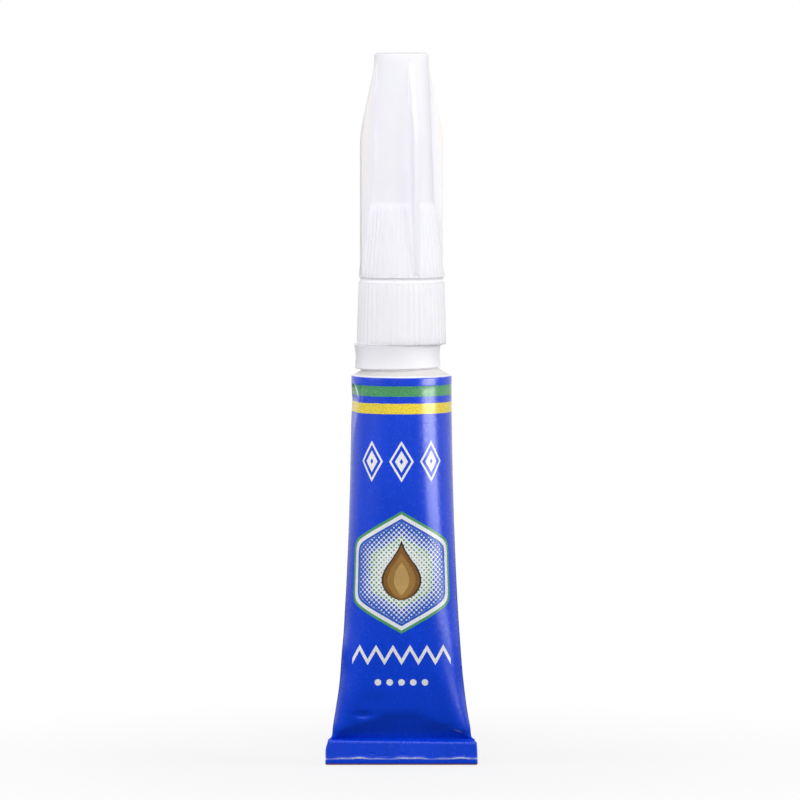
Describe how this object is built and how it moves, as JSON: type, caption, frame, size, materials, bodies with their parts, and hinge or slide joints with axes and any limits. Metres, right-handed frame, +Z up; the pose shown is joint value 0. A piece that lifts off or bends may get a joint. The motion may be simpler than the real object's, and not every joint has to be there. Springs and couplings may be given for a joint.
{
  "type": "super glue tube",
  "caption": "Small collapsible metal glue tube with a twice-folded tail, a loose spacer ring under a ribbed screw-on nozzle, and a finned push-on cap.",
  "frame": {"origin": "middle of the tail's lower edge, on the tube's axis", "axes": "+Z up the tube's axis to the cap, -Y out of the printed front, +X to the right when the front is seen"},
  "size_m": [0.0208, 0.0136, 0.0963],
  "materials": {
    "tube_metal": "thin aluminium under glossy printed blue enamel, bare at the shoulder and neck",
    "sealing_compound": "dried latex band",
    "glue_liquid": "clear thin liquid",
    "ring_plastic": "smooth translucent polyethylene",
    "nozzle_plastic": "moulded translucent polyethylene with fine ribs",
    "cap_plastic": "moulded white polypropylene, translucent where it is thin"
  },
  "bodies": {
    "tube_body": {"tube": "tube_metal", "tail_seal": "sealing_compound", "glue": "glue_liquid"},
    "ring_body": {"spacer_ring": "ring_plastic"},
    "nozzle_body": {"nozzle": "nozzle_plastic"},
    "cap_body": {"cap": "cap_plastic"}
  },
  "joints": [
    {"name": "ring_lift", "type": "slide", "parent": "tube_body", "child": "ring_body", "axis": [0, 0, 1], "range_m": [0, 0.00375]},
    {"name": "nozzle_turn", "type": "hinge", "parent": "ring_body", "child": "nozzle_body", "pos_m": [0, 0, 0.0593], "axis": [0, 0, 1], "range_deg": [0, 1080]},
    {"name": "cap_pull", "type": "slide", "parent": "nozzle_body", "child": "cap_body", "axis": [0, 0, 1], "range_m": [0, 0.032]}
  ],
  "couplings": [
    {"joint": "nozzle_turn", "follows": "ring_lift", "rad_per_m": 5026.5}
  ]
}
